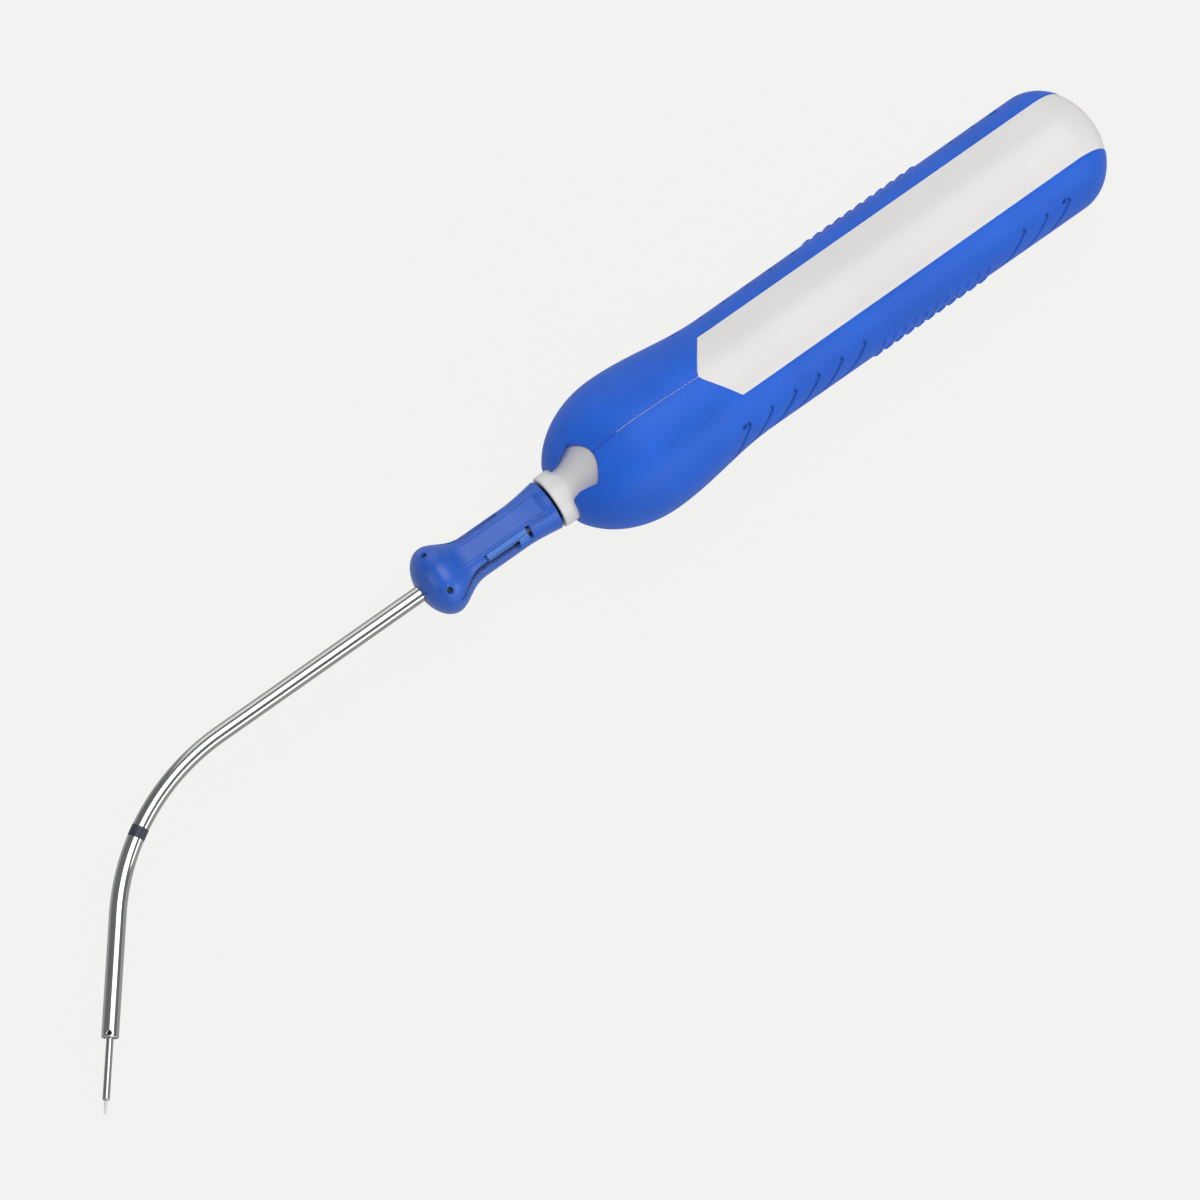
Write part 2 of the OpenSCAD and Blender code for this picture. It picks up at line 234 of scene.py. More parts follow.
def make_piece(name, grids, finish, body, replaces=(), marks=None):
    """One object from closed grids of points, with merged seams and poles and with
    its faces outwards. marks holds named numbers, one array for each grid."""
    points, faces, offset = [], [], 0
    for grid in grids:
        rows, columns = grid.shape[:2]
        flat = grid.reshape(-1, 3)
        quads = grid_faces(rows, columns, 0)
        if volume_sign(flat, quads) < 0:
            quads = quads[:, ::-1]
        points.append(flat)
        faces.append(quads + offset)
        offset += len(flat)
    points = placed(np.concatenate(points))
    faces = np.concatenate(faces)
    mesh = bpy.data.meshes.new(name)
    mesh.vertices.add(len(points))
    mesh.vertices.foreach_set("co", points.astype(np.float32).ravel())
    mesh.loops.add(faces.size)
    mesh.loops.foreach_set("vertex_index", faces.astype(np.int32).ravel())
    mesh.polygons.add(len(faces))
    mesh.polygons.foreach_set("loop_start", np.arange(0, faces.size, 4, dtype=np.int32))
    mesh.polygons.foreach_set("use_smooth", np.ones(len(faces), bool))
    for mark, values in (marks or {}).items():
        kind = "FLOAT_VECTOR" if values[0].ndim == 3 else "FLOAT"
        layer = mesh.attributes.new(mark, kind, "POINT")
        flat = np.concatenate([v.reshape(-1) for v in values]).astype(np.float32)
        layer.data.foreach_set("vector" if kind == "FLOAT_VECTOR" else "value", flat)
    mesh.update()
    weld(mesh)
    obj = bpy.data.objects.new(name, mesh)
    bpy.context.scene.collection.objects.link(obj)
    mesh.materials.append(finish)
    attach(obj, body)
    if replaces:
        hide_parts(*replaces)
    return obj


def weld(mesh):
    """Merges the doubled points at seams and poles."""
    work = bmesh.new()
    work.from_mesh(mesh)
    bmesh.ops.remove_doubles(work, verts=work.verts, dist=MERGE)
    work.to_mesh(mesh)
    work.free()
    mesh.update()


# ---------------------------------------------------------------- handle


def grip_radius(x, sizes):
    """Radius of the soft grip at x: an elliptic dome, a straight taper, a half cosine
    up to the bulge and an elliptic nose."""
    bulge = NOSE_X - sizes.bulge_back
    dome_end = REAR_X + sizes.dome_len
    rise = bulge - sizes.bulge_run
    dome = sizes.rear_r * root(1 - ((dome_end - x) / sizes.dome_len) ** 2)
    taper = sizes.rear_r + (sizes.front_r - sizes.rear_r) * (x - dome_end) / (rise - dome_end)
    swell = sizes.front_r + (sizes.bulge_r - sizes.front_r) * ease((x - rise) / sizes.bulge_run)
    nose = sizes.bulge_r * root(1 - ((x - bulge) / sizes.nose_run) ** 2)
    return np.select([x < dome_end, x < rise, x < bulge], [dome, taper, swell], nose)


CORNER_BACK = 18.1 * MM
APEX_BACK = 12.95 * MM
APEX_ROUND = 0.5 * MM
CORNER_ROUND = 1.1 * MM
SEAM_HALF = 0.012 * MM
WINDOW_REAR = 9 * MM
WINDOW_CORNER = 11.1 * MM
WINDOW_NECK = 13.9 * MM
WINDOW_REAR_HALF = 4.4 * MM
WINDOW_NECK_HALF = 3.25 * MM
PANEL_TIP = REAR_X + 1.45 * MM
GRIP_TIP = REAR_X + 1.5 * MM
PIPS_FROM = -115.8 * MM
PIPS_TO = -88.5 * MM
BULGE_FROM = -54 * MM
EDGE_COLUMNS = 4
INNER_R_MIN = 2 * MM
RIM_WIDTH = 0.9 * MM
FLARE_BACK = 3.1 * MM
FLARE_RUN = 6.3 * MM
FLARE_RISE = 6.5 * MM
FLARE_POWER = 1.35
FLARE_GAP = 0.3 * MM
RING_R = 5 * MM
RING_ROUND = 0.35 * MM
NOSE_DROP = 0.25 * MM
NOSE_BORE_R = 3.62 * MM
NOSE_SEAT_R = 3.02 * MM
NOSE_BORE_DEPTH = 1.5 * MM
NOSE_REAR = 4 * MM
PANEL_COLUMNS = 121
PANEL_FRONT_FROM = -64 * MM
PANEL_FRONT_TO = -41 * MM


def opening(x, sizes):
    """Half the width of the gap along the top of the grip at x: the long panel with its
    rounded rear corner and pointed end, the parting line, then the nose window."""
    bulge = NOSE_X - sizes.bulge_back
    apex = bulge - APEX_BACK
    slope = sizes.panel_half / (CORNER_BACK - APEX_BACK)
    ahead = np.clip(apex - APEX_ROUND - x, 0, None)
    point = slope * np.sqrt(ahead * ahead + 2 * APEX_ROUND * ahead)
    away = np.clip((PANEL_TIP + CORNER_ROUND - x) / CORNER_ROUND, 0, 1)
    panel = np.minimum(sizes.panel_half + CORNER_ROUND * (1 - root(1 - away**2)), point)
    rear = WINDOW_REAR_HALF * root((x - bulge - WINDOW_REAR) / (WINDOW_CORNER - WINDOW_REAR))
    neck = np.interp(x, [bulge + WINDOW_CORNER, bulge + WINDOW_NECK],
                     [WINDOW_REAR_HALF, WINDOW_NECK_HALF])
    window = np.where(x < bulge + WINDOW_CORNER, rear, neck)
    return np.maximum(np.where(x < bulge, panel, window), SEAM_HALF)


SLASH_HEADS = ((-132 * MM, 3, "rear"), (-87 * MM, 6, "front"))
SLASH_HEAD_TURN = np.radians(65)
SLASH_HOOK = 0.62 * MM
SLASH_SLOPE = 0.76
SLASH_HALF = 0.27 * MM
DOT_AHEAD = 1.15 * MM
DOT_R = 0.42 * MM


def segment_distance(u, v, start, end):
    """Distance from (u, v) to the straight piece between two points."""
    along = np.subtract(end, start)
    share = ((u - start[0]) * along[0] + (v - start[1]) * along[1]) / (along @ along)
    share = np.clip(share, 0, 1)
    return np.hypot(u - start[0] - share * along[0], v - start[1] - share * along[1])


def slash_marks(x, turn, sizes):
    """Depth of the finger slashes, from 0 to 1, at x and the angle turn. Each slash is a
    straight groove across the side with a hook at both ends, the same from above and
    below; the outermost one of each row also has a dot beside its head."""
    reach = sizes.rear_r * (np.pi / 2 - SLASH_HEAD_TURN)
    round_side = sizes.rear_r * (turn - np.pi / 2)
    depth = np.zeros_like(x)
    for first, count, row in SLASH_HEADS:
        for n in range(count):
            mid = first + n * sizes.slash_pitch + SLASH_SLOPE * reach
            u, v = x - mid, round_side
            lean = SLASH_SLOPE * reach
            far = segment_distance(u, v, (-lean, -reach), (lean, reach))
            for flip in (-1, 1):
                hook = (flip * (lean - 0.1 * MM), flip * (reach + SLASH_HOOK))
                far = np.minimum(far, segment_distance(u, v, (flip * lean, flip * reach), hook))
            depth = np.maximum(depth, 1 - step(far / SLASH_HALF - 0.35))
            if n == (0 if row == "rear" else count - 1):
                for flip in (-1, 1):
                    spot = np.hypot(u - flip * (lean - DOT_AHEAD),
                                    v - flip * (reach + 0.75 * SLASH_HOOK))
                    depth = np.maximum(depth, 1.5 * (1 - step(spot / DOT_R - 0.4)))
                    curl = segment_distance(
                        u, v, (flip * (lean - 0.1 * MM), flip * (reach + SLASH_HOOK)),
                        (flip * (lean - DOT_AHEAD), flip * (reach + 1.3 * SLASH_HOOK)))
                    depth = np.maximum(depth, 1 - step(curl / SLASH_HALF - 0.35))
    return depth


PIP_START = -114 * MM
PIP_PITCH = 2.3 * MM
PIP_COUNT = 11
PIP_ROW_TURN = np.radians(9)
PIP_HALF_LEN = 0.75 * MM
PIP_R = 0.5 * MM


def pip_marks(x, turn, sizes):
    """Height of the raised pips, from 0 to 1: two staggered rows of slanted ovals along
    the side of the grip."""
    round_side = sizes.rear_r * (turn - np.pi / 2)
    row = sizes.rear_r * PIP_ROW_TURN
    height = np.zeros_like(x)
    for n in range(PIP_COUNT):
        for side in (-1, 1):
            u = x - PIP_START - n * PIP_PITCH - (side > 0) * PIP_PITCH / 2
            v = round_side - side * row
            lean = PIP_HALF_LEN * 0.4
            far = segment_distance(u, v, (-lean, -PIP_HALF_LEN), (lean, PIP_HALF_LEN))
            height = np.maximum(height, root(1 - (far / PIP_R) ** 2))
    return height


def edge_arc(start, corner, end, count):
    """Rounded edge from start to end by way of corner: a quadratic curve, as columns."""
    t = np.linspace(0, 1, count + 2)[1:-1][None, :, None]
    return (1 - t) ** 2 * start[:, None] + 2 * t * (1 - t) * corner[:, None] + t**2 * end[:, None]


def grip_grid(side, sizes):
    """One side of the soft grip: a closed shell between the openings above and below.
    Each row is a loop: the outer arc, a rounded edge, the wall, the inner arc and back.
    The front rows shrink by a quarter circle, which rounds the legs' ends."""
    bulge = NOSE_X - sizes.bulge_back
    dome_end = REAR_X + sizes.dome_len
    curl_end = GRIP_TIP + 1.5 * MM
    x = stations((GRIP_TIP, curl_end, 26), (curl_end, dome_end, 22),
                 (dome_end, PIPS_FROM, 136), (PIPS_FROM, PIPS_TO, 118),
                 (PIPS_TO, BULGE_FROM, 232), (BULGE_FROM, bulge + WINDOW_REAR - 0.2 * MM, 30))
    t = np.linspace(0, 1, 26)
    window = bulge + WINDOW_REAR + (WINDOW_CORNER - WINDOW_REAR) * t * t
    neck = np.linspace(bulge + WINDOW_CORNER, GRIP_FRONT - sizes.edge, 22)[1:]
    quarter = np.linspace(0, np.pi / 2, 6)[1:]
    tail = GRIP_FRONT - sizes.edge * (1 - np.sin(quarter))
    inset = np.concatenate([np.zeros(len(x) + len(window) + len(neck)),
                            sizes.edge * (1 - np.cos(quarter))])
    x = np.concatenate([x, window, neck, tail])
    r = grip_radius(x, sizes) - inset
    half = np.minimum(opening(x, sizes) + inset, r * 0.99999)
    inner = np.minimum(r - sizes.skin, flare_radius(x, sizes) - FLARE_GAP) + 2 * inset
    inner = np.maximum(inner, INNER_R_MIN)
    low = np.arcsin(half / r)
    round_by = np.minimum(sizes.edge, 0.2 * r * (np.pi / 2 - low))
    soft_low = low + round_by / r
    share = stations((0, 0.25, 14), (0.25, 0.75, 78), (0.75, 1, 14))
    turn = soft_low[:, None] + (np.pi - 2 * soft_low)[:, None] * share
    station = np.broadcast_to(x[:, None], turn.shape)
    cut = slash_marks(station, turn, sizes)
    raised = pip_marks(station, turn, sizes)
    seam = seam_lip(station, turn, sizes)
    radius = r[:, None] - sizes.slash_depth * cut + sizes.pip_height * raised + seam
    outer = round_axis(station, radius, turn)
    low_in = np.arcsin(np.minimum(half / inner, 1))
    arc_share = np.linspace(0, 1, 14)
    turn_in = low_in[:, None] + (np.pi - 2 * low_in)[:, None] * arc_share
    inside = round_axis(np.broadcast_to(x[:, None], turn_in.shape), inner[:, None], turn_in)
    corner = round_axis(x, r, low)
    wall = corner - np.stack([0 * x, 0 * x, round_by], -1)
    top_edge = edge_arc(wall, corner, outer[:, 0], EDGE_COLUMNS)
    flip = np.array([1, 1, -1])
    low_edge = edge_arc(outer[:, -1], corner * flip, wall * flip, EDGE_COLUMNS)
    loop = np.concatenate([wall[:, None], top_edge, outer, low_edge, (wall * flip)[:, None],
                           inside[:, ::-1]], 1)
    loop = loop * np.array([1, side, 1])
    first = EDGE_COLUMNS + 1
    arc = slice(first, first + outer.shape[1])
    # The slash depth is kept for the finish, which paints the slashes darker as painted shade.
    depth = np.zeros(loop.shape[:2])
    depth[:, arc] = np.minimum(cut, 1)
    # rim marks the edges by the panel and the walls in the gap, which the finish paints darker as painted
    # shade.
    rim = np.zeros(loop.shape[:2])
    rim[:, arc] = 1 - step(sizes.rear_r * (turn - low[:, None]) / RIM_WIDTH)
    rim[:, :first] = 1
    grid = closed(loop)
    return grid, repeated(depth, len(grid)), repeated(rim, len(grid))


def seam_lip(x, turn, sizes):
    """Fine raised lip along the parting line on top of the bulge."""
    bulge = NOSE_X - sizes.bulge_back
    near = sizes.bulge_r * np.minimum(turn, np.pi - turn)
    zone = step((x - bulge + APEX_BACK) / (2 * MM)) * (1 - step((x - bulge - 6.5 * MM) / (2 * MM)))
    return 0.05 * MM * zone * (1 - step(near / (0.3 * MM)))


def flare_radius(x, sizes):
    """Radius of the white nose in its windows: a trumpet that opens to the rear."""
    front = NOSE_X - FLARE_BACK
    flare = RING_R + FLARE_RISE * np.clip((front - x) / FLARE_RUN, 0, None) ** FLARE_POWER
    return np.minimum(flare, grip_radius(x, sizes) - NOSE_DROP)


def with_chord(arcs):
    """Each row of a grid closed by a straight chord from its last point to its first."""
    share = np.linspace(0, 1, 12)[1:-1, None]
    chord = arcs[:, -1:, :] + (arcs[:, :1, :] - arcs[:, -1:, :]) * share
    return np.concatenate([arcs, chord], 1)


def panel_grid(level, sizes):
    """Upper (level 1) or lower (-1) half of the white core: the grip's outline less the
    panel's drop, stepping down by the grip's skin where the grip covers it."""
    dome = np.linspace(0, np.pi / 2, 44)
    x = np.concatenate([REAR_X + PANEL_DROP + (sizes.dome_len - PANEL_DROP) * (1 - np.cos(dome)),
                        np.linspace(REAR_X + sizes.dome_len, PANEL_FRONT_FROM, 150)[1:],
                        np.linspace(PANEL_FRONT_FROM, PANEL_FRONT_TO, 90)[1:]])
    share = np.linspace(-1, 1, PANEL_COLUMNS)
    turn = share * np.pi / 2
    station, across = np.broadcast_arrays(x[:, None], turn[None, :])
    shift = np.clip((REAR_X + sizes.dome_len - x) / sizes.dome_len, 0, 1)
    r = grip_radius(x - PANEL_DROP * shift, sizes) - PANEL_DROP * (1 - shift)
    r[0] = 0
    width = np.abs(r[:, None] * np.sin(across))
    hidden = step((width - opening(station, sizes) - 0.4 * MM) / (0.3 * MM))
    radius = r[:, None] - hidden * np.minimum(sizes.skin, 0.5 * r[:, None])
    outer = round_axis(station, radius, across)
    loop = with_chord(outer) * np.array([1, 1, level])
    # rim marks the panel's edges by the grip, where the finish paints a highlight.
    rim = np.zeros(loop.shape[:2])
    rim[:, :PANEL_COLUMNS] = step(1 - np.abs(opening(station, sizes) - width) / (0.45 * MM))
    grid = closed(loop)
    return grid, repeated(rim, len(grid))


def nose_grid(sizes):
    """White nose by turning one closed outline: trumpet, ring with rounded edges, bore."""
    rear = NOSE_X - sizes.bulge_back + NOSE_REAR
    x = np.linspace(rear, NOSE_X - FLARE_BACK, 60)
    r = flare_radius(x, sizes)
    quarter = np.linspace(0, np.pi / 2, 7)
    ring_x = NOSE_X - RING_ROUND * (1 - np.sin(quarter))
    ring_y = RING_R - RING_ROUND * (1 - np.cos(quarter))
    seat = NOSE_X - NOSE_BORE_DEPTH
    outline_x = np.concatenate([x, ring_x, [NOSE_X, seat, seat, rear, rear]])
    outline_r = np.concatenate([r, ring_y, [NOSE_BORE_R, NOSE_BORE_R, NOSE_SEAT_R, NOSE_SEAT_R, r[0]]])
    turn = np.linspace(0, TURN, 160, endpoint=False)
    station, turn = np.broadcast_arrays(outline_x[:, None], turn[None, :])
    return round_axis(station, outline_r[:, None], turn)


# ---------------------------------------------------------------- slider

FLARE_LEN = 6.7 * MM
RISE_LEN = 7.6 * MM
FLANGE_X = -3.9 * MM
DOME_RUN = 4.2 * MM
PAD_REAR = -25.4 * MM
PAD_FRONT = -2.3 * MM
LATCH_TURN = np.radians(40)
SLOT_REAR = -21.1 * MM
NOTCH_FRONT = -17.5 * MM
FINGER_FRONT = -11.95 * MM
FINGER_SIDE = 0.73 * MM
HEAD_SIDE = 2.07 * MM
WINDOW_FLOOR_R = 3.12 * MM
SLIDER_BORE_R = 3.05 * MM
SHAFT_HOLE_R = 1.47 * MM
SLIDER_FLOOR_X = -5.2 * MM
FRONT_FACE_X = -0.02 * MM
FACET_RATIO = 0.905
PIN_HOLE_X = -3.5 * MM
PIN_HOLE_Y = 3.9 * MM
PIN_HOLE_R = 0.5 * MM
CHANNEL_FRONT = -5.2 * MM
REAR_ROUND = 0.3 * MM
BODY_COLUMNS = 320
PAD_COLUMNS = 240
PAD_EDGE = 0.03 * MM
PAD_RISE = 0.05 * MM
RIM_LIFT = 0.08 * MM
RIB_REAR = -24.9 * MM
RIB_FRONT = -7.4 * MM
GROOVE_REAR = -24.4 * MM
GROOVE_DEPTH = 0.12 * MM


def slider_radius(x, sizes):
    """Radius of the slider at x: flared rear, waist, a rise to the flange, domed front."""
    back = np.clip((SLIDER_REAR + FLARE_LEN - x) / FLARE_LEN, 0, 1)
    rear = sizes.waist_r + sizes.flare * back**1.5
    rise = np.clip((x - FLANGE_X + RISE_LEN) / RISE_LEN, 0, 1) ** 1.3
    front = sizes.waist_r + (sizes.flange_r - sizes.waist_r) * ease(rise)
    dome = sizes.flange_r * root(1 - ((x - FLANGE_X) / DOME_RUN) ** 2)
    return np.where(x < FLANGE_X, np.maximum(rear, front), dome)


def box_mark(u, low, high, soft):
    """1 between low and high, falling to 0 over the soft distance outside."""
    return step((u - low) / soft + 1) * step((high - u) / soft + 1)


def line_mark(u, half):
    """1 at u = 0, falling to 0 at half either side."""
    return 1 - step(np.abs(u) / half)


def window_marks(x, turn, sizes):
    """Depth of the two latch windows, from 0 to 1: a wide opening round the finger's head
    and a narrow one along its leaf. The second is diametrically opposite the first."""
    depth = np.zeros(np.broadcast(x, turn).shape)
    soft = 0.05 * MM
    for middle in (LATCH_TURN, LATCH_TURN - np.pi):
        beside = sizes.waist_r * np.sin(turn - middle)
        here = np.cos(turn - middle) > 0
        for front, side in ((NOTCH_FRONT, HEAD_SIDE), (FINGER_FRONT, FINGER_SIDE)):
            cut = box_mark(x, SLOT_REAR, front, soft) * box_mark(beside, -FINGER_SIDE, side, soft)
            depth = np.maximum(depth, here * cut)
    return depth


def channel_marks(x, below, sizes):
    """Depth of the recess under the pad's edges, from 0 to 1: wide at the window, then
    narrower, closing at the flange. below is the distance round from the pad's edge."""
    run = box_mark(x, NOTCH_FRONT, CHANNEL_FRONT, 1.1 * MM)
    share = np.interp(x, [NOTCH_FRONT, -12.5 * MM, -8.5 * MM, -4.2 * MM], [1.35, 1, 0.95, 0.3])
    return run * box_mark(below, -0.5 * MM, sizes.channel_width * share, 0.14 * MM)


def slider_body_grid(sizes):
    """Slider body: the turned outline with a flat seat under the pad, a recess channel
    below each of the pad's edges, the latch windows and a fine rim behind the pad."""
    quarter = np.linspace(0, np.pi / 2, 5)
    start = SLIDER_REAR + REAR_ROUND
    x = np.concatenate([SLIDER_REAR + REAR_ROUND * (1 - np.cos(quarter[:-1])),
                        stations((start, PAD_REAR - 0.06 * MM, 14), (PAD_REAR - 0.06 * MM, PAD_REAR, 4),
                                 (PAD_REAR, SLOT_REAR - 0.1 * MM, 40),
                                 (SLOT_REAR - 0.1 * MM, NOTCH_FRONT + 0.1 * MM, 60),
                                 (NOTCH_FRONT + 0.1 * MM, PAD_FRONT, 120),
                                 (PAD_FRONT, PAD_FRONT + 0.04 * MM, 3),
                                 (PAD_FRONT + 0.04 * MM, FRONT_FACE_X, 34))])
    inset = np.concatenate([REAR_ROUND * (1 - np.sin(quarter[:-1])), np.zeros(len(x) - 4)])
    turn = np.linspace(-np.pi, np.pi, BODY_COLUMNS, endpoint=False)
    station, angle = np.broadcast_arrays(x[:, None], turn[None, :])
    r = (slider_radius(x, sizes) - inset)[:, None] + 0 * angle
    under = (station > PAD_REAR - 0.01 * MM) & (station < PAD_FRONT + 0.01 * MM)
    level = (sizes.pad_z - PAD_RISE) / np.maximum(np.cos(angle), 0.05)
    seated = np.where(under & (np.abs(angle) < 1.45), np.minimum(r, level), r)
    edge_turn = np.arccos(np.clip(sizes.pad_z / r, -1, 1))
    channel = channel_marks(station, r * (np.abs(angle) - edge_turn), sizes)
    window = window_marks(station, angle, sizes)
    surface = seated - sizes.channel_depth * channel * (seated > r - 0.01 * MM)
    surface = surface - window * (surface - np.minimum(surface, WINDOW_FLOOR_R))
    y = r * np.sin(angle)
    top = np.cos(angle) > 0
    across = box_mark(y, -1.5 * MM, 1.5 * MM, 0.4 * MM)
    rim = top * line_mark(station - PAD_REAR + 0.3 * MM, 0.2 * MM) * across
    surface = surface + RIM_LIFT * rim
    outer = round_axis(station, surface, angle)
    around = 0 * turn
    inner = [round_axis(at + around, radius + around, turn) for at, radius in (
        (FRONT_FACE_X, SHAFT_HOLE_R), (SLIDER_FLOOR_X, SHAFT_HOLE_R),
        (SLIDER_FLOOR_X, SLIDER_BORE_R), (SLIDER_REAR, SLIDER_BORE_R))]
    grid = np.concatenate([outer, np.stack(inner), outer[:1]])
    # The windows are kept for the finish, which paints them near-black: painted shade, matching the black
    # sleeve under them.
    hollow_shade = np.zeros(grid.shape[:2])
    hollow_shade[:len(x)] = window
    # The channel is kept for the finish, which paints it darker as painted shade.
    recess = np.zeros(grid.shape[:2])
    recess[:len(x)] = channel
    return grid, hollow_shade, recess


def rib_place(x):
    """Distance of the pad's rib from its middle: a little further out at both ends."""
    rear = 0.36 * step((-20 * MM - x) / (5.5 * MM))
    front = 0.16 * step((x + 10 * MM) / (3 * MM))
    return (1.62 + rear + front) * MM


def slider_pad_grid(sizes):
    """Slider pad: the turned outline above the parting line with a flat along its top, a
    rib along the flat on the latch's side, a fine groove beside the rib's rear end and
    the latch window cut into the edge."""
    along = stations((PAD_REAR + PAD_EDGE, SLOT_REAR - 0.1 * MM, 50),
                     (SLOT_REAR - 0.1 * MM, NOTCH_FRONT + 0.1 * MM, 60),
                     (NOTCH_FRONT + 0.1 * MM, PAD_FRONT - PAD_EDGE, 140))
    x = np.concatenate([[PAD_REAR], along, [PAD_FRONT]])
    inset = np.zeros(len(x))
    inset[[0, -1]] = PAD_EDGE
    r = slider_radius(x, sizes) - inset
    low = np.arccos(np.clip(sizes.pad_z / r, -1, 1))
    turn = low[:, None] * np.linspace(-1, 1, PAD_COLUMNS)
    station = np.broadcast_to(x[:, None], turn.shape)
    full = r[:, None] + 0 * turn
    y = full * np.sin(turn)
    front = -6.3 * MM - 0.1 * (y + 0.4 * MM) ** 2 / MM
    zone = step((station - PAD_REAR - 0.15 * MM) / (0.7 * MM))
    zone = zone * (1 - step((station - front + 1.3 * MM) / (1.3 * MM)))
    flat = FACET_RATIO * full / np.maximum(np.cos(turn), 0.1)
    sharp = 0.03 * MM
    radius = full - sharp * np.logaddexp(0, (full - flat) / sharp) * zone
    beside = y - rib_place(station)
    rib = box_mark(station, RIB_REAR, RIB_FRONT, 0.3 * MM) * line_mark(beside, 0.26 * MM)
    groove = box_mark(station, GROOVE_REAR, SLOT_REAR, 0.3 * MM)
    groove = groove * line_mark(beside - 0.45 * MM, 0.24 * MM)
    radius = radius + sizes.rib_height * rib - GROOVE_DEPTH * groove
    from_edge = full * (low[:, None] - np.abs(turn))
    radius = radius - 0.1 * MM * (1 - np.clip(from_edge / (0.22 * MM), 0, 1)) ** 2
    window = window_marks(station, turn, sizes)
    floor_r = sizes.pad_z / np.cos(np.minimum(np.abs(turn), 1.4)) + 0.02 * MM
    radius = radius - window * np.clip(radius - floor_r, 0, None)
    hole, rim = pin_hole_marks(station, radius, turn)
    radius = radius - 0.7 * MM * hole + 0.05 * MM * rim
    outer = round_axis(station, radius, turn)
    loop = with_chord(outer)
    # The pin holes and windows are kept for the finish, which paints them near-black as painted shade.
    hollow_shade = np.zeros(loop.shape[:2])
    hollow_shade[:, :PAD_COLUMNS] = np.maximum(hole, window)
    # The groove beside the rib is kept for the finish, which paints it darker as painted shade.
    recess = np.zeros(loop.shape[:2])
    recess[:, :PAD_COLUMNS] = 0.6 * groove
    grid = closed(loop)
    return grid, repeated(hollow_shade, len(grid)), repeated(recess, len(grid))


def pin_hole_marks(x, r, turn):
    """Depth of the two pin holes and the height of the rim round each."""
    away = np.hypot(x - PIN_HOLE_X, np.abs(r * np.sin(turn)) - PIN_HOLE_Y)
    return 1 - step((away - PIN_HOLE_R + 0.08 * MM) / (0.16 * MM)), line_mark(away - 0.8 * MM, 0.25 * MM)


# ---------------------------------------------------------------- shaft


def swept(s, r, columns, sizes):
    """Grid about the shaft's centreline from matching stations s and radii r."""
    turn = np.linspace(0, TURN, columns, endpoint=False)
    s, r, turn = np.broadcast_arrays(np.asarray(s)[:, None], np.asarray(r)[:, None], turn[None, :])
    flow = np.stack([r * np.cos(turn), r * np.sin(turn), s], -1)
    return from_path(s, r, turn, sizes), flow


def mouth_station(sizes):
    """Distance along the centreline from the slider's front to the mouth."""
    return sizes.straight + sizes.bend_r * bend_angle() + sizes.end_len


BAND_AT = np.radians(31.5)
BAND_LEN = 2 * MM
HOLE_BACK = 0.62 * MM
HOLE_R = 0.42 * MM
TUBE_REAR = -5 * MM
TUBE_COLUMNS = 96
JOINT_RIM = 0.02 * MM
MOUTH_RIM = 0.1 * MM
HOLE_SHARE = 0.9


def tube_grid(start, end, sizes, rim):
    """A stretch of tube: outer wall, rounded front rim, bore. rim is the rounding."""
    quarter = np.linspace(0, np.pi / 2, 6)
    long = stations((start, end - 2 * MM, 150), (end - 2 * MM, end - rim, 26))
    s = np.concatenate([long, end - rim * (1 - np.sin(quarter[1:])), [end], long[::-1], [start]])
    r = np.concatenate([0 * long + sizes.tube_r, sizes.tube_r - rim * (1 - np.cos(quarter[1:])),
                        [sizes.bore_r], 0 * long + sizes.bore_r, [sizes.tube_r]])
    return swept(s, r, TUBE_COLUMNS, sizes)


def drill_mouth(flow, sizes):
    """Depth of the four rinse holes near the mouth, from 0 to 1."""
    mouth = mouth_station(sizes)
    turn = np.arctan2(flow[..., 1], flow[..., 0])
    radius = np.hypot(flow[..., 0], flow[..., 1])
    nearest = np.round(turn / (np.pi / 2)) * np.pi / 2
    away = np.hypot(flow[..., 2] - mouth + HOLE_BACK, sizes.tube_r * (turn - nearest))
    return (1 - step((away - HOLE_R + 0.1 * MM) / (0.12 * MM))) * (radius > sizes.tube_r - 0.1 * MM)


# ---------------------------------------------------------------- materials


class Value:
    """A number in a material, with Python's arithmetic."""

    def __init__(self, finish, socket):
        self.finish = finish
        self.socket = socket

    def math(self, operation, first, second):
        return self.finish.node("ShaderNodeMath", {"operation": operation}, {0: first, 1: second})

    def __add__(self, other):
        return self.math("ADD", self, other)

    def __radd__(self, other):
        return self.math("ADD", other, self)

    def __mul__(self, other):
        return self.math("MULTIPLY", self, other)

    def __rmul__(self, other):
        return self.math("MULTIPLY", other, self)


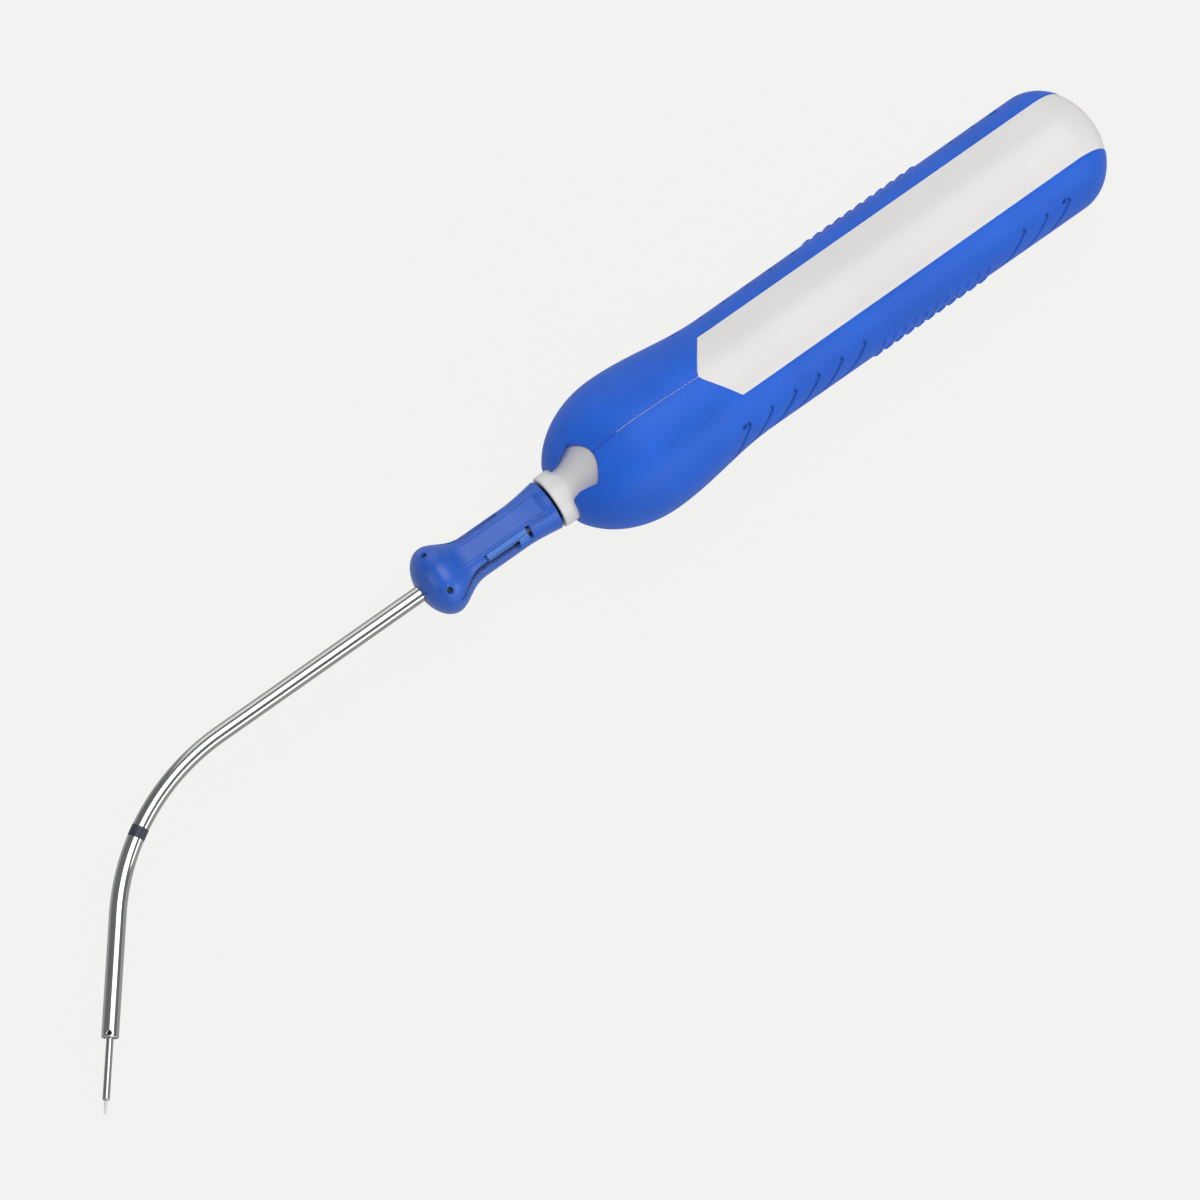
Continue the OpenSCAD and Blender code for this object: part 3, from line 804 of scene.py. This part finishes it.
class Finish:
    """A material in the making, round one Principled shader."""

    def __init__(self, name, **constants):
        self.material = bpy.data.materials.new(name)
        self.material.use_nodes = True
        self.tree = self.material.node_tree
        self.tree.nodes.clear()
        output = self.tree.nodes.new("ShaderNodeOutputMaterial")
        self.shader = self.tree.nodes.new("ShaderNodeBsdfPrincipled")
        self.tree.links.new(self.shader.outputs[0], output.inputs[0])
        for socket, value in constants.items():
            self.put(self.shader.inputs[socket.replace("_", " ")], value)

    def put(self, socket, value):
        """Links a value to a socket, or sets it there."""
        if isinstance(value, Value):
            self.tree.links.new(value.socket, socket)
        elif isinstance(value, tuple) and len(value) == 3 and socket.type == "RGBA":
            socket.default_value = (*value, 1)
        else:
            socket.default_value = value

    def node(self, kind, settings=None, inputs=None, out=0):
        """Adds a node: its settings first, then the values or links of its sockets."""
        made = self.tree.nodes.new(kind)
        for key, value in (settings or {}).items():
            setattr(made, key, value)
        for key, value in (inputs or {}).items():
            self.put(made.inputs[key], value)
        return Value(self, made.outputs[out])

    def place(self):
        """Object coordinates."""
        return self.node("ShaderNodeTexCoord", out=3)

    def mark(self, name, out=2):
        """A number kept on the piece."""
        return self.node("ShaderNodeAttribute", {"attribute_name": name}, out=out)

    def noise(self, where, scale, detail=3.0, rough=0.55):
        """Noise from 0 to 1, with features of about 1 / scale metres."""
        return self.node("ShaderNodeTexNoise", {}, {"Vector": where, "Scale": scale,
                                                    "Detail": detail, "Roughness": rough})

    def stretched(self, where, factors):
        """Coordinates scaled along each axis."""
        return self.node("ShaderNodeMapping", {}, {"Vector": where, "Scale": factors})

    def spread(self, value, low, high, to_low, to_high):
        """A value taken from one range to another, and held inside it."""
        return self.node("ShaderNodeMapRange", {"clamp": True}, {
            "Value": value, "From Min": low, "From Max": high, "To Min": to_low, "To Max": to_high})

    def blend(self, share, first, second):
        """Mix of two colours."""
        return self.node("ShaderNodeMix", {"data_type": "RGBA"}, {0: share, 6: first, 7: second}, out=2)

    def bump(self, height, depth, strength=1.0):
        """Bumps of the given depth in metres."""
        return self.node("ShaderNodeBump", {}, {"Height": height, "Distance": depth, "Strength": strength})

    def done(self, **links):
        """Puts the varied values on the shader and gives the material."""
        for socket, value in links.items():
            self.put(self.shader.inputs[socket.replace("_", " ")], value)
        return self.material


def shade_of(tint, factor):
    """A colour made lighter or darker."""
    return tuple(min(1.0, c * factor) for c in tint)


def soft_grip_finish(tint):
    """Soft-touch rubber: faint mottling, a fine grain, painted shade in the slashes and along the edges by
    the panel.
    """
    f = Finish("soft_grip_finish", IOR=1.5, Specular_IOR_Level=0.25, Sheen_Weight=0.03,
               Sheen_Roughness=0.5)
    place = f.place()
    cloud = f.noise(place, 90.0, 3.0)
    grain = f.noise(place, 2600.0, 2.0)
    base = f.blend(f.spread(cloud, 0.35, 0.65, 0, 1), shade_of(tint, 0.93), shade_of(tint, 1.08))
    # Painted shade: darker along the edges by the white panel and on the walls in the gap.
    rim = f.blend(f.mark("rim") * 0.22, base, shade_of(tint, 0.72))
    # Painted shade: the slashes are darkened towards a deep blue.
    cut = f.blend(f.mark("cut") * 0.8, rim, shade_of(tint, 0.38))
    height = f.mark("cut") * -0.2 + grain
    return f.done(Base_Color=cut, Roughness=f.spread(grain, 0.3, 0.7, 0.4, 0.5) + cloud * 0.06,
                  Normal=f.bump(height, 0.010 * MM, 0.6))


def white_finish(tint):
    """Warm white moulded plastic: satin, with a painted highlight, a paler rim, along its edges by the
    grip.
    """
    f = Finish("white_plastic_finish", IOR=1.49, Specular_IOR_Level=0.45)
    place = f.place()
    cloud = f.noise(place, 60.0, 2.0)
    grain = f.noise(place, 2200.0, 2.0)
    base = f.blend(f.spread(cloud, 0.35, 0.65, 0, 1), shade_of(tint, 0.985), shade_of(tint, 1.015))
    # Painted highlight: paler along the panel's edges by the grip.
    lit = f.blend(f.mark("rim") * 0.7, base, (0.93, 0.925, 0.91))
    return f.done(Base_Color=lit, Roughness=f.spread(grain, 0.3, 0.7, 0.33, 0.42),
                  Normal=f.bump(grain, 0.004 * MM, 0.5))


def slider_finish(tint):
    """Hard glossy blue plastic with painted shade: darker in its recess and groove, near-black in its
    windows and pin holes.
    """
    f = Finish("slider_blue_finish", IOR=1.48, Specular_IOR_Level=0.4, Coat_Roughness=0.2)
    place = f.place()
    cloud = f.noise(place, 160.0, 2.0)
    grain = f.noise(place, 1500.0, 2.0)
    base = f.blend(f.spread(cloud, 0.35, 0.65, 0, 1), shade_of(tint, 0.95), shade_of(tint, 1.05))
    # Painted shade: darker in the recess under the pad's edges and in the groove beside the rib.
    recess = f.blend(f.mark("recess") * 0.8, base, shade_of(tint, 0.22))
    # Painted shade: near-black in the pin holes and in the windows, matching the black sleeve under them.
    hollow_shade = f.blend(f.spread(f.mark("hollow_shade"), 0.35, 0.8, 0, 1), recess, (0.004, 0.006, 0.016))
    return f.done(Base_Color=hollow_shade, Roughness=f.spread(grain, 0.3, 0.7, 0.3, 0.36),
                  Coat_Weight=0.12, Normal=f.bump(grain, 0.001 * MM, 0.4))


def steel_finish(name, tint, rough, flow=True):
    """Steel polished along its length: fine streaks that follow the shaft, and painted shade, near-black,
    in its holes.
    """
    f = Finish(name)
    where = f.mark("flow", out=1) if flow else f.place()
    streak = f.noise(f.stretched(where, (1.0, 1.0, 0.012) if flow else (0.05, 1.0, 1.0)), 5200.0, 3.0)
    cloud = f.noise(where, 420.0, 2.0)
    base = f.blend(f.spread(streak, 0.3, 0.7, 0, 1), shade_of(tint, 0.9), shade_of(tint, 1.07))
    # Painted shade: near-black in the rinse holes.
    dark = f.blend(f.mark("hollow_shade"), base, (0.01, 0.01, 0.012))
    return f.done(Base_Color=dark, Metallic=1.0,
                  Roughness=f.spread(streak, 0.3, 0.7, rough, rough + 0.05) + cloud * 0.03,
                  Normal=f.bump(streak, 0.002 * MM, 0.4))


def plain_finish(name, tint, rough, metallic=0.0):
    """A moulded or coated finish with a fine grain."""
    f = Finish(name, IOR=1.48, Metallic=metallic)
    grain = f.noise(f.place(), 1800.0, 2.0)
    base = f.blend(f.spread(grain, 0.3, 0.7, 0, 1), shade_of(tint, 0.92), shade_of(tint, 1.05))
    return f.done(Base_Color=base, Roughness=f.spread(grain, 0.3, 0.7, rough, rough + 0.12),
                  Normal=f.bump(grain, 0.004 * MM, 0.4))


def stage_finish(tint):
    """Pale sheet that glows evenly, so that shadows stay faint, and less in reflections."""
    f = Finish("floor_finish", Roughness=0.9, Specular_IOR_Level=0.0, Emission_Strength=1.0)
    seen = f.node("ShaderNodeLightPath")
    return f.done(Base_Color=(0.02, 0.02, 0.02),
                  Emission_Color=f.blend(seen, shade_of(tint, 0.55), tint))


# ---------------------------------------------------------------- operators


class IntroducerGrip(bpy.types.Operator):
    """Builds both sides of the soft grip."""

    bl_idname = "introducer.grip"
    bl_label = "Soft grip"

    def execute(self, context):
        """One piece for each side; together they stand for the CAD grip."""
        sizes = context.scene.introducer_handle
        finish = soft_grip_finish(tuple(context.scene.introducer_finishes.grip))
        for side, name in ((1, "grip_bend_side"), (-1, "grip_far_side")):
            # cut and rim carry the painted shade of the slashes and of the edges by the panel.
            grid, cut, rim = grip_grid(side, sizes)
            make_piece(name, [grid], finish, "handle", ("grip_sleeve",),
                       {"cut": [cut], "rim": [rim]})
        return {"FINISHED"}


class IntroducerCore(bpy.types.Operator):
    """Builds the white core halves and the nose."""

    bl_idname = "introducer.core"
    bl_label = "White core and nose"

    def execute(self, context):
        """Upper and lower halves and the turned nose."""
        sizes = context.scene.introducer_handle
        finish = white_finish(tuple(context.scene.introducer_finishes.white))
        for level, node in ((1, "core_upper"), (-1, "core_lower")):
            # rim carries the painted highlight along the panel's edges by the grip.
            grid, rim = panel_grid(level, sizes)
            make_piece(node + "_panel", [grid], finish, "handle", (node,),
                       {"rim": [rim]})
        nose = nose_grid(sizes)
        make_piece("nose_trumpet", [nose], finish, "handle", ("nose_cone",),
                   {"rim": [np.zeros(nose.shape[:2])]})
        return {"FINISHED"}


class IntroducerSlider(bpy.types.Operator):
    """Builds the thumb slider's body and pad."""

    bl_idname = "introducer.slider"
    bl_label = "Thumb slider"

    def execute(self, context):
        """The body and the pad that is snapped on its top."""
        sizes = context.scene.introducer_slider
        finish = slider_finish(tuple(context.scene.introducer_finishes.slider))
        # The marks on both pieces carry the painted shade of the windows, pin holes, recess and groove.
        body, hollow_shade, recess = slider_body_grid(sizes)
        make_piece("slider_shell", [body], finish, "deployer", ("slider_body",),
                   {"hollow_shade": [hollow_shade], "recess": [recess]})
        pad, hollow_shade, recess = slider_pad_grid(sizes)
        make_piece("slider_cover", [pad], finish, "deployer", ("slider_pad",),
                   {"hollow_shade": [hollow_shade], "recess": [recess]})
        return {"FINISHED"}


class IntroducerShaft(bpy.types.Operator):
    """Builds the two stretches of the shaft and the depth mark."""

    bl_idname = "introducer.shaft"
    bl_label = "Shaft"

    def execute(self, context):
        """Rear and front tube, with the dark mark over their joint."""
        sizes = context.scene.introducer_shaft
        tint = tuple(context.scene.introducer_finishes.steel)
        steel = steel_finish("shaft_steel_finish", tint, 0.09)
        joint = sizes.straight + sizes.bend_r * BAND_AT
        mouth = mouth_station(sizes)
        grid, flow = tube_grid(TUBE_REAR, joint, sizes, JOINT_RIM)
        make_piece("shaft_rear", [grid], steel, "deployer", ("shaft_tube",),
                   {"flow": [flow], "hollow_shade": [np.zeros(grid.shape[:2])]})
        polished = steel_finish("distal_steel_finish", shade_of(tint, 1.08), 0.05)
        grid, flow = tube_grid(joint, mouth, sizes, MOUTH_RIM)
        holes = drill_mouth(flow, sizes)
        wall = sizes.tube_r - sizes.bore_r
        turn = np.arctan2(flow[..., 1], flow[..., 0])
        radius = np.hypot(flow[..., 0], flow[..., 1])
        grid = from_path(flow[..., 2], radius - holes * wall * HOLE_SHARE, turn, sizes)
        # The rinse holes are kept for the finish, which paints them near-black as painted shade.
        make_piece("shaft_front", [grid], polished, "deployer", ("distal_tube",),
                   {"flow": [flow], "hollow_shade": [holes]})
        half = BAND_LEN / 2
        s = joint + np.array([-half, -half, -half + 0.06 * MM, half - 0.06 * MM, half, half, -half])
        lift = sizes.tube_r + np.array([-0.05, 0.01, 0.04, 0.04, 0.01, -0.05, -0.05]) * MM
        s = np.interp(np.linspace(0, 6, 61), np.arange(7), s)
        lift = np.interp(np.linspace(0, 6, 61), np.arange(7), lift)
        band, _ = swept(s, lift, TUBE_COLUMNS, sizes)
        make_piece("depth_mark", [band], plain_finish("depth_mark_finish", (0.035, 0.04, 0.055), 0.35),
                   "deployer", ("marker_band",))
        return {"FINISHED"}


class IntroducerPin(bpy.types.Operator):
    """Builds the needle pin and its nib."""

    bl_idname = "introducer.pin"
    bl_label = "Needle pin"

    def execute(self, context):
        """A turned pin with a chamfered end, and the rounded pale nib on it."""
        sizes = context.scene.introducer_shaft
        mouth = mouth_station(sizes)
        tip = mouth + sizes.pin_len
        chamfer = 0.12 * MM
        s = stations((mouth - 8 * MM, mouth - 0.1 * MM, 20), (mouth - 0.1 * MM, mouth, 2),
                     (mouth, tip - chamfer, 40), (tip - chamfer, tip, 6))
        r = np.where(s < mouth - 0.05 * MM, sizes.shank_r, sizes.pin_r)
        r = r - chamfer * step((s - tip + chamfer) / chamfer)
        grid, flow = swept(s, r, 64, sizes)
        tint = tuple(context.scene.introducer_finishes.steel)
        finish = steel_finish("pin_steel_finish", shade_of(tint, 0.93), 0.16)
        make_piece("needle_shank", [closed(grid)], finish, "needle", ("needle_pin",),
                   {"flow": [repeated(flow, len(grid) + 2)],
                    "hollow_shade": [np.zeros((len(grid) + 2, 64))]})
        t = np.linspace(0, 1, 30)
        s = tip - 0.05 * MM + (sizes.nib_len + 0.05 * MM) * t
        r = (0.34 - 0.14 * t) * MM * root(1 - np.clip((t - 0.93) / 0.07, 0, 1) ** 2)
        grid, _ = swept(s, r, 40, sizes)
        nib = plain_finish("pale_nib_finish", (0.78, 0.785, 0.78), 0.25)
        make_piece("pale_nib_tip", [closed(grid)], nib, "needle", ("tip_nib",))
        return {"FINISHED"}


CAD_FINISHES = {
    # The guide sleeve is near-black, partly as painted shade: it fills the gap between the nose and the
    # slider with black.
    "guide_sleeve": ("sleeve_finish", (0.012, 0.012, 0.014), 0.4, 0.0),
    "rod_guide": ("acetal_finish", (0.84, 0.83, 0.8), 0.4, 0.0),
    "locating_dowels": ("acetal_finish", (0.84, 0.83, 0.8), 0.4, 0.0),
    "drag_ring": ("ring_rubber_finish", (0.015, 0.015, 0.016), 0.6, 0.0),
    "anchor_screws": ("black_oxide_finish", (0.05, 0.05, 0.055), 0.4, 1.0),
    "pad_pins": ("pad_pin_finish", (0.03, 0.035, 0.06), 0.35, 1.0),
    "tip_bush": ("bush_finish", (0.12, 0.12, 0.13), 0.35, 1.0),
    "latch_left": ("latch_finish", (0.05, 0.19, 0.68), 0.3, 0.0),
    "latch_right": ("latch_finish", (0.05, 0.19, 0.68), 0.3, 0.0),
}
STEEL_NODES = ("retaining_clip", "anchor_block", "inner_rod", "rod_ferrule", "tube_collar",
               "flex_cable", "pin_ferrule")


class IntroducerInside(bpy.types.Operator):
    """Gives the inner CAD pieces their finishes."""

    bl_idname = "introducer.inside"
    bl_label = "Inner pieces"

    def execute(self, context):
        """Plastics and coated pieces first, then bare steel."""
        made = {}
        for node, (name, tint, rough, metallic) in CAD_FINISHES.items():
            if name not in made:
                made[name] = plain_finish(name, tint, rough, metallic)
            dress(node, made[name])
        steel = steel_finish("inner_steel_finish", tuple(context.scene.introducer_finishes.steel),
                             0.28, flow=False)
        for node in STEEL_NODES:
            dress(node, steel)
        return {"FINISHED"}


def dress(node, finish):
    """Puts one finish on every slot of a CAD node."""
    mesh = frame["nodes"][node].data
    if not mesh.materials:
        mesh.materials.append(finish)
    for n in range(len(mesh.materials)):
        mesh.materials[n] = finish


class IntroducerStage(bpy.types.Operator):
    """Builds the floor, the lights and the camera."""

    bl_idname = "introducer.stage"
    bl_label = "Floor, lights and camera"

    def execute(self, context):
        """A pale floor, four soft lights, a pale sky and the camera."""
        build_floor(context.scene)
        build_lights(context.scene)
        build_camera(context.scene)
        context.scene.view_settings.view_transform = "Standard"
        return {"FINISHED"}


def build_floor(scene):
    """A large sheet just below the bulge."""
    span = 3.0
    level = -(scene.introducer_handle.bulge_r + 0.1 * MM)
    mesh = bpy.data.meshes.new("floor")
    corners = [(-span, -span, level), (span, -span, level), (span, span, level), (-span, span, level)]
    mesh.from_pydata(corners, [], [(0, 1, 2, 3)])
    floor = bpy.data.objects.new("floor", mesh)
    scene.collection.objects.link(floor)
    mesh.materials.append(stage_finish(tuple(scene.introducer_finishes.floor)))


def area_light(scene, name, place, aim, sides, glow):
    """A soft light of two sides' lengths at a place, turned towards a point. Its power is
    its radiance times pi times its area."""
    data = bpy.data.lights.new(name, "AREA")
    data.shape = "RECTANGLE"
    data.size, data.size_y = sides
    data.energy = glow * np.pi * sides[0] * sides[1]
    light = bpy.data.objects.new(name, data)
    scene.collection.objects.link(light)
    back = np.subtract(place, aim) / np.linalg.norm(np.subtract(place, aim))
    right = np.cross((0.0, 0.0, 1.0), back)
    right = right / np.linalg.norm(right)
    pose = np.eye(4)
    pose[:3, :3] = np.column_stack([right, np.cross(back, right), back])
    pose[:3, 3] = place
    light.matrix_world = Matrix(pose.tolist())


LIGHTS = (
    ("key_strip", (-0.28, 0.85, 0.24), (1.3, 0.42), 2.4),
    ("top_box", (-0.45, -0.02, 0.95), (0.9, 0.9), 2.5),
    ("far_card", (-0.35, -0.85, 0.30), (0.8, 0.7), 1.0),
    ("tip_card", (0.75, -0.10, 0.45), (0.6, 0.5), 1.6),
)


def build_lights(scene):
    """A strip low on the side the shaft bends to, a broad box above and dim cards on the
    far side and beyond the tip, in a dim studio."""
    for name, place, sides, glow in LIGHTS:
        area_light(scene, name, place, (-0.11, -0.02, 0.0), sides, glow)
    world = bpy.data.worlds.new("studio")
    scene.world = world
    world.use_nodes = True
    background = world.node_tree.nodes["Background"]
    background.inputs["Color"].default_value = (0.93, 0.95, 1.0, 1)
    background.inputs["Strength"].default_value = 0.24


CAMERA_PLACE = (0.484 * MM, 120.397 * MM, 574.949 * MM)
CAMERA_RIGHT = (-0.801928, 0.597242, 0.014610)
CAMERA_BACK = (0.182185, 0.221186, 0.958063)
CAMERA_LENS = 106.236


def build_camera(scene):
    """Camera at the tool's right rear, well above it."""
    data = bpy.data.cameras.new("camera")
    data.sensor_width = 36.0
    data.lens = CAMERA_LENS
    data.clip_start = 0.01
    data.clip_end = 20.0
    camera = bpy.data.objects.new("camera", data)
    scene.collection.objects.link(camera)
    back = np.array(CAMERA_BACK) / np.linalg.norm(CAMERA_BACK)
    up = np.cross(back, CAMERA_RIGHT)
    up = up / np.linalg.norm(up)
    pose = np.eye(4)
    pose[:3, :3] = np.column_stack([np.cross(up, back), up, back])
    pose[:3, 3] = CAMERA_PLACE
    camera.matrix_world = Matrix(pose.tolist())
    scene.camera = camera


STEPS = (IntroducerStage, IntroducerCore, IntroducerGrip, IntroducerSlider, IntroducerShaft,
         IntroducerPin, IntroducerInside)
GROUPS = {"introducer_handle": HandleSizes, "introducer_slider": SliderSizes,
          "introducer_shaft": ShaftSizes, "introducer_finishes": Finishes}


class IntroducerPanel(bpy.types.Panel):
    """Sizes, colours and build steps of the introducer."""

    bl_idname = "VIEW3D_PT_introducer"
    bl_label = "Introducer"
    bl_space_type = "VIEW_3D"
    bl_region_type = "UI"
    bl_category = "Introducer"

    def draw(self, context):
        """One box for each group of sizes, then one button for each step."""
        for name, group in GROUPS.items():
            box = self.layout.box()
            values = getattr(context.scene, name)
            for key in group.__annotations__:
                box.prop(values, key)
        for operator in STEPS:
            self.layout.operator(operator.bl_idname)


def register():
    """Adds the classes and the groups of sizes."""
    for group in GROUPS.values():
        bpy.utils.register_class(group)
    for name, group in GROUPS.items():
        setattr(bpy.types.Scene, name, PointerProperty(type=group))
    for operator in STEPS:
        bpy.utils.register_class(operator)
    bpy.utils.register_class(IntroducerPanel)


def unregister():
    """Takes them away again."""
    bpy.utils.unregister_class(IntroducerPanel)
    for operator in reversed(STEPS):
        bpy.utils.unregister_class(operator)
    for name, group in GROUPS.items():
        delattr(bpy.types.Scene, name)
        bpy.utils.unregister_class(group)


def main():
    """Builds everything."""
    register()
    bpy.ops.introducer.stage()
    bpy.ops.introducer.core()
    bpy.ops.introducer.grip()
    bpy.ops.introducer.slider()
    bpy.ops.introducer.shaft()
    bpy.ops.introducer.pin()
    bpy.ops.introducer.inside()


if __name__ == "__main__":
    main()
